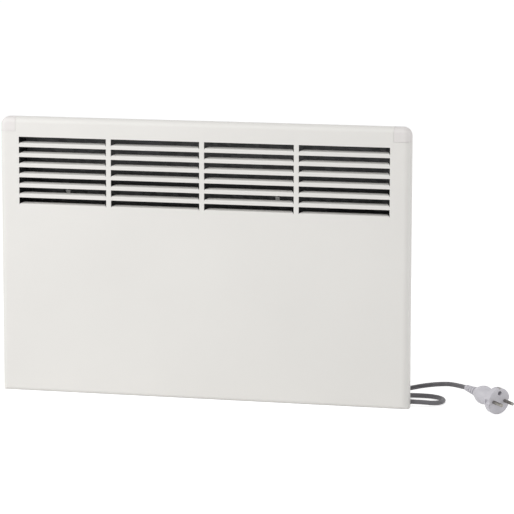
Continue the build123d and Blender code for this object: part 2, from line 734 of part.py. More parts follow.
def switch_spans(grow):
    half_y = ROCKER_WIDTH / 2 + ROCKER_GAP + SWITCH_WALL + grow
    half_z = ROCKER_LENGTH / 2 + ROCKER_GAP + SWITCH_WALL + grow
    return (PLATE_Y - half_y, PLATE_Y + half_y), (ROCKER_Z - half_z, ROCKER_Z + half_z)


def thermostat_body():
    """The thermostat's case and bush, behind the control plate"""
    back_x = CASE_X - THERMOSTAT_DEPTH
    half_y, half_z = THERMOSTAT_WIDTH / 2, THERMOSTAT_HEIGHT / 2
    y, z = (PLATE_Y - half_y, PLATE_Y + half_y), (DIAL_Z - half_z, DIAL_Z + half_z)
    case = span_box((back_x, CASE_X - 0.2), y, z)
    case = fillet(case.edges().filter_by(Axis.X), 2.5)
    case -= rod_x(SPINDLE_R + SPINDLE_GAP, (back_x + 6, CASE_X), PLATE_Y, DIAL_Z)
    for x in spaced(2, 14):
        tag_y = (PLATE_Y + x - 3, PLATE_Y + x + 3)
        case += span_box((back_x - TAG_LENGTH, back_x), tag_y, (DIAL_Z - 0.4, DIAL_Z + 0.4))
    return case


def thermostat_spindle():
    end = PLATE_FACE_X + DIAL_GAP + DIAL_HEIGHT * 0.6
    return rod_x(SPINDLE_R, (end - SPINDLE_LENGTH, end), PLATE_Y, DIAL_Z)


def thermostat_dial():
    """A fluted knob on a skirt, with a groove that points up at rest"""
    base = PLATE_FACE_X + DIAL_GAP
    top = base + DIAL_HEIGHT
    skirt = rod_x(DIAL_R, (base, base + DIAL_SKIRT), PLATE_Y, DIAL_Z)
    skirt = fillet(skirt.edges().group_by(Axis.X)[-1], DIAL_SKIRT * 0.4)
    knob_r = DIAL_R * 0.8
    knob = rod_x(knob_r, (base, top), PLATE_Y, DIAL_Z)
    knob = fillet(knob.edges().group_by(Axis.X)[-1], 1.2)
    for i in range(DIAL_FLUTES):
        angle = 2 * pi * (i + 0.5) / DIAL_FLUTES
        at = (PLATE_Y + knob_r * sin(angle), DIAL_Z + knob_r * cos(angle))
        knob -= rod_x(DIAL_FLUTE_R, (base + DIAL_SKIRT, top + 1), *at)
    half = DIAL_MARK_WIDTH / 2
    mark_z = (DIAL_Z + knob_r * 0.35, DIAL_Z + knob_r + 1)
    mark = span_box((top - DIAL_MARK_DEPTH, top + 1), (PLATE_Y - half, PLATE_Y + half), mark_z)
    bore = rod_x(SPINDLE_R, (base - 1, base + DIAL_HEIGHT * 0.6), PLATE_Y, DIAL_Z)
    return skirt + knob - mark - bore


def rocker_pivot_x():
    return PLATE_FACE_X - 1.5


def switch_body():
    """The switch's well, with holes for the rocker's pins, and its three tags"""
    y, z = switch_spans(0)
    flange = span_box((PLATE_FACE_X, PLATE_FACE_X + SWITCH_FLANGE), *switch_spans(SWITCH_RIM))
    body = span_box((CASE_X - SWITCH_DEPTH, PLATE_FACE_X), y, z) + flange
    well_y, well_z = switch_spans(-SWITCH_WALL)
    body -= span_box((CASE_X - 7, PLATE_FACE_X + 2), well_y, well_z)
    body -= rod_y(ROCKER_PIN_R + SPINDLE_GAP, rocker_pivot_x(), (y[0] - 1, y[1] + 1), ROCKER_Z)
    for x in spaced(3, 6):
        body += span_box(
            (CASE_X - SWITCH_DEPTH - TAG_LENGTH, CASE_X - SWITCH_DEPTH),
            (PLATE_Y - 2.4, PLATE_Y + 2.4),
            (ROCKER_Z + x - 0.4, ROCKER_Z + x + 0.4),
        )
    return body


def switch_rocker():
    """A rocker with its lower end pressed in, which is off at rest"""
    half_y, half_z = ROCKER_WIDTH / 2, ROCKER_LENGTH / 2
    crown = 4.2
    outline = [
        Polyline((-3.0, -half_z * 0.55), (1.2, -half_z), (crown - 0.6, -half_z)),
        ThreePointArc((crown - 0.6, -half_z), (crown - 1.8, 0), (crown - 0.6, half_z)),
        Polyline((crown - 0.6, half_z), (1.2, half_z), (-3.0, half_z * 0.55), (-3.0, -half_z * 0.55)),
    ]
    face = make_face([edge for line in outline for edge in line.edges()])
    side = Plane((0, half_y, 0), x_dir=(1, 0, 0), z_dir=(0, -1, 0))
    rocker = extrude(side * face, ROCKER_WIDTH)
    pins_half = half_y + ROCKER_GAP + SWITCH_WALL * 0.8
    rocker += rod_y(ROCKER_PIN_R, 0, (-pins_half, pins_half), 0)
    return Pos(rocker_pivot_x(), PLATE_Y, ROCKER_Z) * Rot(0, ROCKER_TILT, 0) * rocker


def indicator_lens():
    lens = rod_x(LENS_R, (CASE_X - 6, PLATE_FACE_X), PLATE_Y, LENS_Z)
    rim = rod_x(LENS_R + 0.8, (PLATE_FACE_X, PLATE_FACE_X + LENS_DOME), PLATE_Y, LENS_Z)
    return lens + fillet(rim.edges().group_by(Axis.X)[-1], LENS_DOME * 0.8)


# ---- wiring bay ----

def pole_ys():
    return [BLOCK_Y + y for y in spaced(POLES, POLE_PITCH)]


def pole_screw_places():
    return [(BLOCK_X + step, y) for y in pole_ys() for step in spaced(2, BLOCK_WIDTH * 0.5)]


def terminal_block():
    x = (BLOCK_X - BLOCK_WIDTH / 2, BLOCK_X + BLOCK_WIDTH / 2)
    y = (BLOCK_Y - BLOCK_LENGTH / 2, BLOCK_Y + BLOCK_LENGTH / 2)
    through, top = (x[0] - 1, x[1] + 1), CASE_SHEET + BLOCK_HEIGHT
    block = span_box(x, y, (CASE_SHEET, top))
    for at in pole_ys():
        block -= rod_x(WIRE_R + 0.3, through, at, CASE_SHEET + BLOCK_HEIGHT * 0.4)
    for at in pole_screw_places():
        block -= rod_z(BLOCK_SCREW_R + 0.2, *at, (top - BLOCK_WELL, top + 1))
    for at in spaced(POLES - 1, POLE_PITCH):
        notch = (BLOCK_Y + at - BLOCK_NOTCH / 2, BLOCK_Y + at + BLOCK_NOTCH / 2)
        block -= span_box(through, notch, (top - BLOCK_WELL, top + 1))
    return block


def terminal_screws():
    low = CASE_SHEET + BLOCK_HEIGHT - BLOCK_WELL
    high = low + BLOCK_SCREW
    screws = []
    for x, y in pole_screw_places():
        slot = span_box((x - 2.5, x + 2.5), (y - 0.3, y + 0.3), (high - 0.8, high + 1))
        screws.append(rod_z(BLOCK_SCREW_R, x, y, (low, high)) - slot)
    return Compound(screws)


def wire(points):
    """A round insulated wire along straight runs and arcs"""
    path = FilletPolyline(*points, radius=WIRE_BEND_R)
    start = Plane(origin=path @ 0, z_dir=path % 0)
    return sweep(start * Circle(WIRE_R), path)


def block_entry(pole, side):
    """Where a wire enters a pole, from the left, -1, or the right, 1"""
    x = BLOCK_X + side * BLOCK_WIDTH / 2
    return x, pole_ys()[pole], CASE_SHEET + BLOCK_HEIGHT * 0.4


def element_live_wire():
    """From the terminal block up behind the partition to the element's right end"""
    x, y, z = block_entry(0, -1)
    _, end = terminal_spans()
    bend_x = x - WIRE_REACH
    return wire([(x, y, z), (bend_x, y, z), (bend_x, ELEMENT_Y, ELEMENT_Z), (end[1], ELEMENT_Y, ELEMENT_Z)])


def element_return_wire():
    """From the element's left end, under the baffle's back, to the terminal block"""
    start, _ = terminal_spans()
    x, y, z = block_entry(1, -1)
    low_z = RETURN_WIRE_Z
    left = start[0] + TERMINAL_LENGTH / 2
    return wire([
        (left, ELEMENT_Y, ELEMENT_Z - TERMINAL_R),
        (left, ELEMENT_Y, ELEMENT_Z - WIRE_DROP),
        (left, WIRE_BEHIND_Y, ELEMENT_Z - 2 * WIRE_DROP),
        (left, WIRE_BEHIND_Y, low_z),
        (BAY_X + WIRE_REACH, WIRE_BEHIND_Y, low_z),
        (x - WIRE_DROP, y, z),
        (x, y, z),
    ])


def thermostat_wire():
    """From the terminal block to the thermostat"""
    x, y, z = block_entry(2, 1)
    tag_x = CASE_X - THERMOSTAT_DEPTH - TAG_LENGTH + 1.5
    tag_y = PLATE_Y + 7
    bend_x, rise_z = x + WIRE_REACH, z + 2 * WIRE_DROP
    return wire([(x, y, z), (bend_x, y, z), (tag_x, tag_y, rise_z), (tag_x, tag_y, DIAL_Z - 0.4)])


def earth_wire():
    """From the terminal block to the earth screw in the partition"""
    x, y, z = block_entry(2, -1)
    head_x = BAY_X + CASE_SHEET + SCREW_HEAD
    bend_x = x - WIRE_REACH - 2
    return wire([(x, y, z), (bend_x, y, z), (bend_x, y, EARTH_Z), (head_x, y, EARTH_Z)])


def earth_screw():
    return Pos(BAY_X + CASE_SHEET, pole_ys()[2], EARTH_Z) * Rot(0, 90, 0) * screw()


# ---- mains lead ----

def gland_end_x():
    return CASE_X + GLAND_OUTSIDE


def cord_gland():
    """A moulded relief that passes through the casing's end, with ribs on its tapered tail"""
    start, end = CASE_INNER_X - GLAND_INSIDE, gland_end_x()
    collar = CASE_X + GLAND_COLLAR
    outline = [
        (start, CORD_R),
        (start, GLAND_NECK_R + 1.2),
        (CASE_INNER_X - 0.1, GLAND_NECK_R + 1.2),
        (CASE_INNER_X - 0.1, GLAND_NECK_R),
        (CASE_X, GLAND_NECK_R),
        (CASE_X, GLAND_COLLAR_R),
        (collar - 0.8, GLAND_COLLAR_R),
        (collar, GLAND_COLLAR_R - 0.8),
        (collar, GLAND_NECK_R),
        (end, GLAND_TAIL_R),
        (end, CORD_R),
    ]
    section = make_face(Polyline(*outline, close=True))
    gland = revolve(Plane.XY * section, Axis.X)
    ribs = 4
    step = (end - collar) / (ribs + 0.5)
    for i in range(ribs):
        at = collar + (i + 0.6) * step
        groove = Cylinder(GLAND_NECK_R + 1, step * 0.4) - Cylinder(GLAND_TAIL_R - 0.1, step)
        gland -= Pos(at, 0, 0) * Rot(0, 90, 0) * groove
    return Pos(0, GLAND_Y, GLAND_Z) * gland


def cord_inner():
    """The end of the lead inside the casing, from the relief's tail to the stripped cores"""
    return rod_x(CORD_R, (CORD_END_X, gland_end_x()), GLAND_Y, GLAND_Z)


def cord_clamp():
    """A moulded saddle that presses the lead to the casing's floor"""
    half = CLAMP_LENGTH / 2
    y = (max(GLAND_Y - CORD_R - 3, RIM_BACK_Y + 0.2), CLAMP_SCREW_Y + SCREW_HEAD_R + 0.5)
    saddle = span_box((CLAMP_X - half, CLAMP_X + half), y, (CASE_SHEET, CLAMP_TOP))
    saddle = fillet(edges_along(saddle, Axis.X, lambda c: c.Z > CLAMP_TOP - 1), 1.5)
    saddle -= rod_x(CORD_R + 0.02, (CLAMP_X - half - 1, CLAMP_X + half + 1), GLAND_Y, GLAND_Z)
    hole = (CLAMP_TOP - SCREW_REACH - 1, CLAMP_TOP + 1)
    return saddle - rod_z(SCREW_R + SCREW_GAP, CLAMP_X, CLAMP_SCREW_Y, hole)


def clamp_screw():
    return Pos(CLAMP_X, CLAMP_SCREW_Y, CLAMP_TOP) * screw()


def arc_radii(points):
    """The radius at each inner point: 0.45 of its shorter run over the tangent of half its turn"""
    radii = []
    for before, at, after in zip(points, points[1:], points[2:]):
        run_in, run_out = at - before, after - at
        half_turn = radians(run_in.get_angle(run_out)) / 2
        radii.append(0.45 * min(run_in.length, run_out.length) / tan(half_turn))
    return radii


def cord_tube(name, points):
    """The lead's plain tube along the points, with its radii and its volume printed"""
    points = [Vector(*point) for point in points]
    radii = arc_radii(points)
    path = FilletPolyline(*points, radius=radii)
    start = Plane(origin=path @ 0, z_dir=path % 0)
    tube = sweep(start * Circle(CORD_R), path)
    expected = pi * CORD_R**2 * path.length
    print(name, "length", round(path.length, 1), "radii", [round(r, 1) for r in radii])
    print(name, "volume over section times length", round(tube.volume / expected, 5))
    return tube


def biarc(start, start_way, end, end_way):
    """Two arcs that meet smoothly, from a point and direction to another"""
    across = end - start
    ways = start_way + end_way
    spread = 2 * (1 - start_way.dot(end_way))
    reach = (sqrt(across.dot(ways) ** 2 + spread * across.dot(across)) - across.dot(ways)) / spread
    joint = (start + start_way * reach + end - end_way * reach) / 2
    first = TangentArc(start, joint, tangent=start_way)
    return [first, TangentArc(joint, end, tangent=first % 1)]


def coil_point(turn):
    """A point on the coil, by its turn from -half to half: in, up a layer and out again"""
    pitch = 2 * CORD_R + COIL_GAP
    half = COIL_TURNS / 2
    radius = COIL_R - pitch * (half - abs(turn))
    rise = min(max((turn + 0.25) * 2, 0.0), 1.0)
    angle = radians(COIL_START) - 2 * pi * (turn + half)
    height = COIL_LOW_Z + pitch * rise * rise * (3 - 2 * rise)
    return Vector(COIL_X + radius * cos(angle), COIL_Y + radius * sin(angle), height)


def coil_way(turn):
    """The coil's direction there, level and square to the radius where it reverses"""
    if turn == 0:
        angle = radians(COIL_START) - pi * COIL_TURNS
        pitch = 2 * CORD_R + COIL_GAP
        radius = COIL_R - pitch * COIL_TURNS / 2
        return Vector(sin(angle), -cos(angle), 3 * pitch / (2 * pi * radius)).normalized()
    step = 1e-4
    inner = turn + step if turn < 0 else turn - step
    way = coil_point(inner) - coil_point(turn)
    return (way if turn < 0 else way * -1).normalized()


def coil_turns():
    """Places at every quarter turn, counted from the middle of the coil, and its two ends"""
    half = COIL_TURNS / 2
    steps = int(half / 0.25)
    inner = [step * 0.25 for step in range(-steps, steps + 1)]
    ends = [] if half - inner[-1] < 0.02 else [half]
    return [-end for end in ends] + inner + ends


def coil_ends():
    """The coil's two ends: where each straight bit starts, and its outward direction"""
    half = COIL_TURNS / 2
    start, end = coil_point(-half), coil_point(half)
    into, out = coil_way(-half), coil_way(half)
    into, out = Vector(into.X, into.Y, 0).normalized(), Vector(out.X, out.Y, 0).normalized()
    return (start - into * 2 * CORD_R, into), (end + out * 2 * CORD_R, out)


def least_gap(points, reach):
    """The least gap between stretches of a tube that are more than the reach apart along it"""
    least = 1e9
    for i, a in enumerate(points):
        for b in points[i + reach:]:
            distance = (a - b).length
            if distance < least:
                least = distance
    return least - 2 * CORD_R


def cord_coil():
    """The put-away length: it spirals in, climbs a layer and spirals out again"""
    (start, into), (end, out) = coil_ends()
    turns = coil_turns()
    points = [coil_point(turn) for turn in turns]
    ways = [coil_way(turn) for turn in turns]
    ways[0], ways[-1] = into, out
    edges = [Line(start, points[0])]
    for i in range(len(points) - 1):
        edges += biarc(points[i], ways[i], points[i + 1], ways[i + 1])
    edges.append(Line(points[-1], end))
    path = Wire([edge for piece in edges for edge in piece.edges()])
    tube = sweep(Plane(origin=start, z_dir=into) * Circle(CORD_R), path)
    count = 700
    samples = [path.position_at(i / count) for i in range(count + 1)]
    half_turn_steps = int(pi * COIL_R * 0.5 / (path.length / count))
    gap = least_gap(samples, half_turn_steps)
    print("cord_coil length", round(path.length, 1), "least gap", round(gap, 2))
    expected = pi * CORD_R**2 * path.length
    print("cord_coil volume over section times length", round(tube.volume / expected, 5))
    return tube


def cord_lead():
    (start, _), _ = coil_ends()
    return cord_tube("cord_lead", [(gland_end_x(), GLAND_Y, GLAND_Z), *LEAD_POINTS, start])


def cord_tail():
    _, (end, _) = coil_ends()
    plug_end = (plug_place() * Pos(-PLUG_GRIP - PLUG_SLEEVE, 0, 0)).position
    return cord_tube("cord_tail", [end, *TAIL_POINTS, plug_end])


def cord_tie():
    """A strap round the coil's turns, on the side away from its loose ends"""
    pitch = 2 * CORD_R + COIL_GAP
    near = COIL_R - pitch * (COIL_TURNS / 2 + 0.25) - CORD_R - TIE_GAP
    far = COIL_R + CORD_R + TIE_GAP
    low, high = COIL_LOW_Z - CORD_R - TIE_GAP, COIL_LOW_Z + pitch + CORD_R + TIE_GAP
    x = (COIL_X - far, COIL_X - near)
    y = (COIL_Y - TIE_WIDTH / 2, COIL_Y + TIE_WIDTH / 2)
    inner = span_box(x, (y[0] - 1, y[1] + 1), (low, high))
    outer = span_box((x[0] - TIE_SHEET, x[1] + TIE_SHEET), y, (low - TIE_SHEET, high + TIE_SHEET))
    outer = fillet(outer.edges().filter_by(Axis.Y), 2.5)
    inner = fillet(inner.edges().filter_by(Axis.Y), 2.5 - TIE_SHEET)
    return outer - inner


# ---- plug ----

def plug_place():
    """The plug rests on the front rim of its disc, and the springy lead holds its sleeve up"""
    tilt = radians(PLUG_TILT)
    rim_down = (PLUG_R - PLUG_DISC_ROUND) * cos(tilt) + (PLUG_DISC - PLUG_DISC_ROUND) * sin(tilt)
    height = rim_down + PLUG_DISC_ROUND + FLOOR_GAP
    return Pos(PLUG_X, PLUG_Y, height) * Rot(0, 0, PLUG_HEADING) * Rot(0, PLUG_TILT, 0)


def plug_outline():
    """Half of the plug in section: the sleeve, the swelling grip, its waist and the disc"""
    back = -PLUG_GRIP - PLUG_SLEEVE
    middle = -PLUG_GRIP - PLUG_SLEEVE / 2
    sleeve = [(back, PLUG_SLEEVE_END_R), (middle, PLUG_SLEEVE_MID_R), (-PLUG_GRIP, PLUG_SLEEVE_R)]
    grip = [
        (-PLUG_GRIP, PLUG_GRIP_END_R),
        (-PLUG_GRIP_BACK, PLUG_GRIP_R),
        (-PLUG_WAIST_BACK, PLUG_WAIST_R),
        (0, PLUG_R - 3),
    ]
    return [
        Line((back, 0), sleeve[0]),
        Spline(*sleeve),
        Line(sleeve[-1], grip[0]),
        Spline(*grip, tangents=[(1, 0.6), (0.6, 1)]),
        Polyline(grip[-1], (0, PLUG_R), (PLUG_DISC, PLUG_R), (PLUG_DISC, 0), (back, 0)),
    ]


def plug_body():
    """A moulded round plug: a disc for the socket, a waisted grip and a tapered, ribbed sleeve"""
    face = make_face([edge for line in plug_outline() for edge in line.edges()])
    body = revolve(Plane.XY * face, Axis.X)
    rims = [edge for edge in body.edges().filter_by(GeomType.CIRCLE) if edge.radius > PLUG_R - 0.1]
    body = fillet(rims, PLUG_DISC_ROUND)
    for side in (-1, 1):
        groove = rod_x(PLUG_GROOVE_R, (PLUG_GROOVE_STOP, PLUG_DISC + 1), side * (PLUG_R + 1.5), 0)
        body -= [groove, span_box(*earth_clip_span(side))]
    for y in spaced(2, PIN_PITCH):
        body -= rod_x(PIN_ROOT_R + SHEATH_GAP, (PLUG_DISC - PIN_ROOT, PLUG_DISC + 1), y, 0)
    body -= rod_x(EARTH_HOLE_R, (PLUG_DISC - EARTH_HOLE_DEPTH, PLUG_DISC + 1), 0, EARTH_HOLE_RISE)
    ribs = 4
    step = PLUG_SLEEVE / (ribs + 1)
    for i in range(ribs):
        at = (i + 1) * step - PLUG_GRIP - PLUG_SLEEVE
        ring = Cylinder(PLUG_SLEEVE_R + 2, step * 0.35) - Cylinder(PLUG_SLEEVE_END_R - 0.4, step)
        body -= Pos(at, 0, 0) * Rot(0, 90, 0) * ring
    return plug_place() * body


def earth_clip_span(side):
    """The recess for an earth contact, in the top, 1, or the bottom, -1, of the disc"""
    z = (PLUG_R - EARTH_CLIP_DEEP, PLUG_R + 1) if side > 0 else (-PLUG_R - 1, -PLUG_R + EARTH_CLIP_DEEP)
    x = (PLUG_DISC - EARTH_CLIP_LENGTH, PLUG_DISC + 1)
    return x, (-EARTH_CLIP_WIDTH / 2, EARTH_CLIP_WIDTH / 2), z


def plug_earth_clips():
    clips = []
    for side in (-1, 1):
        inner = side * (PLUG_R - EARTH_CLIP_DEEP)
        outer = side * (PLUG_R - EARTH_CLIP_DEEP * 0.3)
        z = (min(inner, outer), max(inner, outer))
        half = EARTH_CLIP_WIDTH / 2 - 0.1
        clips.append(span_box((PLUG_DISC - EARTH_CLIP_LENGTH, PLUG_DISC - 0.5), (-half, half), z))
    return plug_place() * Compound(clips)


def plug_pins():
    pins = []
    for y in spaced(2, PIN_PITCH):
        pin = rod_x(PIN_R, (PLUG_DISC, PLUG_DISC + PIN_LENGTH), y, 0)
        pin = fillet(pin.edges().group_by(Axis.X)[-1], PIN_R * 0.8)
        pins.append(pin + rod_x(PIN_ROOT_R, (PLUG_DISC - PIN_ROOT, PLUG_DISC), y, 0))
    return plug_place() * Compound(pins)


# ---- wall rail ----

def wall_rail():
    """A folded steel channel with two hooks, screwed to the wall by four holes"""
    half = RAIL_LENGTH / 2
    front = CASE_BACK_Y + RAIL_CASE_GAP
    rail = span_box((-half, half), (WALL_Y - RAIL_SHEET, WALL_Y), (RAIL_LOW, RAIL_TOP))
    rail += span_box((-half, half), (front, WALL_Y), (RAIL_LOW, RAIL_LOW + RAIL_SHEET))
    rail += span_box((-half, half), (front, WALL_Y), (RAIL_TOP - RAIL_SHEET, RAIL_TOP))
    hook_back = CASE_INNER_BACK - HOOK_GAP
    for x in spaced(2, HOOK_SPREAD):
        span = (x - HOOK_WIDTH / 2, x + HOOK_WIDTH / 2)
        arm_z, hook_z = (RAIL_TOP - RAIL_SHEET, RAIL_TOP), (RAIL_TOP - RAIL_SHEET, RAIL_TOP + HOOK_RISE)
        rail += span_box(span, (hook_back - RAIL_SHEET, front), arm_z)
        rail += span_box(span, (hook_back - RAIL_SHEET, hook_back), hook_z)
    middle = (RAIL_LOW + RAIL_TOP) / 2
    for x in spaced(2, RAIL_HOLE_SPREAD):
        for z in spaced(2, RAIL_HOLE_RISE):
            rail -= rod_y(RAIL_HOLE_R, x, (WALL_Y - 2 * RAIL_SHEET, WALL_Y + 1), middle + z)
    for x in spaced(2, LATCH_SPREAD):
        rail -= rod_z(LATCH_PIN_R + LATCH_PIN_GAP, x, LATCH_Y, (RAIL_TOP - 2 * RAIL_SHEET, RAIL_TOP + 1))
    return rail


def latch(side):
    """A quarter-turn lock on the rail, with its tongue through the casing's back at rest"""
    low = RAIL_TOP + LATCH_GAP
    body = Pos(0, 0, LATCH_HEIGHT / 2) * Cylinder(LATCH_R, LATCH_HEIGHT)
    body = fillet(body.edges().group_by(Axis.Z)[-1], 1.0)
    half = LATCH_WIDTH / 2
    tongue_bar = span_box((-half, half), (-LATCH_REACH, 0), (0, LATCH_THICK))
    tip = edges_along(tongue_bar, Axis.Z, lambda c: c.Y < -LATCH_REACH + 1)
    body += fillet(tip, 1.5)
    body -= rod_z(LATCH_PIN_R + LATCH_PIN_GAP, 0, 0, (-1, LATCH_HEIGHT - 3))
    slot_y, slot_z = (-LATCH_SLOT / 2, LATCH_SLOT / 2), (LATCH_HEIGHT - 2, LATCH_HEIGHT + 1)
    body -= span_box((-LATCH_R, LATCH_R), slot_y, slot_z)
    return Pos(side * LATCH_SPREAD / 2, LATCH_Y, low) * body


def latch_pins():
    """Rivets in the rail that the latches turn on"""
    low, high = RAIL_TOP - RAIL_SHEET, RAIL_TOP + LATCH_GAP + LATCH_HEIGHT - 3.5
    pins = []
    for x in spaced(2, LATCH_SPREAD):
        head = rod_z(LATCH_PIN_R + 1.5, x, LATCH_Y, (low - LATCH_PIN_HEAD, low))
        pins.append(head + rod_z(LATCH_PIN_R, x, LATCH_Y, (low, high)))
    return Compound(pins)


SUBPARTS = {
    "front_panel": front_panel,
    "corner_cap_left": lambda: corner_cap(-1),
    "corner_cap_right": lambda: corner_cap(1),
    "rear_casing": rear_casing,
    "casing_screws": casing_screws,
    "wall_pads": wall_pads,
    "rear_baffle": rear_baffle,
    "baffle_spacers": baffle_spacers,
    "baffle_screws": baffle_screws,
    "air_guide": air_guide,
    "guide_clips": guide_clips,
    "bay_partition": partition,
    "element_profile": element_profile,
    "element_tube": element_tube,
    "element_insulators": element_insulators,
    "element_terminals": element_terminals,
    "element_stand_left": lambda: element_stand(-1),
    "element_stand_right": lambda: element_stand(1),
    "thermal_cutout": thermal_cutout,
    "cutout_strap": cutout_strap,
    "control_plate": control_plate,
    "thermostat_body": thermostat_body,
    "thermostat_spindle": thermostat_spindle,
    "thermostat_dial": thermostat_dial,
    "switch_body": switch_body,
    "switch_rocker": switch_rocker,
    "indicator_lens": indicator_lens,
    "terminal_block": terminal_block,
    "terminal_screws": terminal_screws,
    "element_live_wire": element_live_wire,
    "element_return_wire": element_return_wire,
    "thermostat_wire": thermostat_wire,
    "earth_wire": earth_wire,
    "earth_screw": earth_screw,
    "cord_clamp": cord_clamp,
    "clamp_screw": clamp_screw,
    "cord_inner": cord_inner,
    "cord_gland": cord_gland,
    "cord_lead": cord_lead,
    "cord_coil": cord_coil,
    "cord_tail": cord_tail,
    "cord_tie": cord_tie,
    "plug_body": plug_body,
    "plug_pins": plug_pins,
    "plug_earth_clips": plug_earth_clips,
    "wall_rail": wall_rail,
    "latch_left": lambda: latch(-1),
    "latch_right": lambda: latch(1),
    "latch_pins": latch_pins,
}

os.makedirs("parts", exist_ok=True)
for name, make in SUBPARTS.items():
    export_step(make(), f"parts/{name}.step")
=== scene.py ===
import json

import bpy
from math import cos, pi, radians, sin
from mathutils import Euler, Matrix, Vector


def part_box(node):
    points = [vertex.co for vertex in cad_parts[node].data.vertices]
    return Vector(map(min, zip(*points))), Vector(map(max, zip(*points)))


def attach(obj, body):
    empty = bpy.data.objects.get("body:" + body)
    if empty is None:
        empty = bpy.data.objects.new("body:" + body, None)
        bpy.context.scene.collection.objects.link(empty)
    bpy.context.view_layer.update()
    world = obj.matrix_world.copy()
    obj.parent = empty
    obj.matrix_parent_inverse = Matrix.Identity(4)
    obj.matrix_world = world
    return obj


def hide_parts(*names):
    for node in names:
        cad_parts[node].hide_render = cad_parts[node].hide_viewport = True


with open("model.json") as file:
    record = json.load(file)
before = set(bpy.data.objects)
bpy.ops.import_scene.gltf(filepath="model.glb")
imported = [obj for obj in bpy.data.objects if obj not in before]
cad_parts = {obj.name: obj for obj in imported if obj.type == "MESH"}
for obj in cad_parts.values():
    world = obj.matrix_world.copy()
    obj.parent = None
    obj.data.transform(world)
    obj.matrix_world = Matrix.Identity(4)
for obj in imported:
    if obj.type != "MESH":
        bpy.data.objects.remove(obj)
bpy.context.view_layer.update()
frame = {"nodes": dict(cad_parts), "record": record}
nodes = frame["nodes"]

MM = 0.001
MICRON = 0.000001
WHITE = (1, 1, 1, 1)


def srgb(red, green, blue):
    """Shader colour from display values of 0 to 255"""
    def linear(value):
        value /= 255
        return value / 12.92 if value <= 0.04045 else ((value + 0.055) / 1.055) ** 2.4
    return linear(red), linear(green), linear(blue), 1.0


def shade(color, factor):
    return tuple(channel * factor for channel in color[:3]) + (1.0,)


def show(name, data):
    obj = bpy.data.objects.new(name, data)
    bpy.context.scene.collection.objects.link(obj)
    return obj


# ---- materials ----

class Surface:
    """A material with one shader, and the textures that vary its colour, roughness and height"""

    def __init__(self, name, color, roughness, metallic=0.0, specular=0.5):
        self.material = bpy.data.materials.new(name)
        self.material.use_nodes = True
        self.tree = self.material.node_tree
        self.shader = self.tree.nodes["Principled BSDF"]
        self.color = color
        self.roughness = roughness
        self.shader.inputs["Base Color"].default_value = color
        self.shader.inputs["Roughness"].default_value = roughness
        self.shader.inputs["Metallic"].default_value = metallic
        self.shader.inputs["Specular IOR Level"].default_value = specular
        self.place = self.add("ShaderNodeTexCoord").outputs["Object"]
        self.height = None

    def add(self, kind, **settings):
        node = self.tree.nodes.new(kind)
        for key, value in settings.items():
            setattr(node, key, value)
        return node

    def link(self, output, target):
        self.tree.links.new(output, target)

    def stretched(self, stretch):
        mapping = self.add("ShaderNodeMapping")
        mapping.inputs["Scale"].default_value = stretch
        self.link(self.place, mapping.inputs["Vector"])
        return mapping.outputs["Vector"]

    def noise(self, scale, detail=2.0, stretch=(1, 1, 1)):
        """Smooth noise, so many cells to the metre"""
        node = self.add("ShaderNodeTexNoise")
        node.inputs["Scale"].default_value = scale
        node.inputs["Detail"].default_value = detail
        self.link(self.stretched(stretch), node.inputs["Vector"])
        return node.outputs["Fac"]

    def cells(self, scale):
        """Patches with clear edges, so many to the metre"""
        node = self.add("ShaderNodeTexVoronoi")
        node.inputs["Scale"].default_value = scale
        self.link(self.place, node.inputs["Vector"])
        return node.outputs["Color"]

    def from_core(self, low, high, radius):
        """Distance of each point from the core of a box: the radius, on its rounded faces"""
        core = (high - low) / 2 - Vector((radius, radius, radius))
        value = self.place
        for operation, other in (
            ("SUBTRACT", (low + high) / 2),
            ("ABSOLUTE", None),
            ("SUBTRACT", core),
            ("MAXIMUM", (0, 0, 0)),
            ("LENGTH", None),
        ):
            node = self.add("ShaderNodeVectorMath", operation=operation)
            self.link(value, node.inputs[0])
            if other:
                node.inputs[1].default_value = other
            value = node.outputs["Value" if operation == "LENGTH" else "Vector"]
        return value

    def remap(self, value, low, high, start=0.3, end=0.7):
        node = self.add("ShaderNodeMapRange")
        for key, number in zip(("From Min", "From Max", "To Min", "To Max"), (start, end, low, high)):
            node.inputs[key].default_value = number
        self.link(value, node.inputs["Value"])
        return node.outputs["Result"]

    def tint(self, value, other, start=0.3, end=0.7):
        """Mixes the colour towards another one where the texture is high"""
        node = self.add("ShaderNodeMix", data_type="RGBA")
        base = self.shader.inputs["Base Color"]
        if base.is_linked:
            self.link(base.links[0].from_socket, node.inputs["A"])
        else:
            node.inputs["A"].default_value = self.color
        node.inputs["B"].default_value = other
        self.link(self.remap(value, 0.0, 1.0, start, end), node.inputs["Factor"])
        self.link(node.outputs["Result"], base)
        return self

    def polish(self, value, spread):
        """Varies the roughness by so much each way"""
        low, high = self.roughness - spread, self.roughness + spread
        self.link(self.remap(value, low, high), self.shader.inputs["Roughness"])
        return self

    def bump(self, value, microns):
        """Relief of so many microns, on top of any relief before it"""
        node = self.add("ShaderNodeBump")
        node.inputs["Strength"].default_value = 1.0
        node.inputs["Distance"].default_value = microns * MICRON
        self.link(value, node.inputs["Height"])
        if self.height:
            self.link(self.height, node.inputs["Normal"])
        self.height = node.outputs["Normal"]
        self.link(self.height, self.shader.inputs["Normal"])
        return self


def enamel(name, color, roughness):
    """Powder coat: a fine orange peel with slow changes of film"""
    surface = Surface(name, color, roughness)
    surface.tint(surface.noise(7), shade(color, 0.975))
    surface.polish(surface.noise(24), 0.03)
    surface.bump(surface.noise(420, 3), 60)
    return surface.bump(surface.noise(1500), 15)


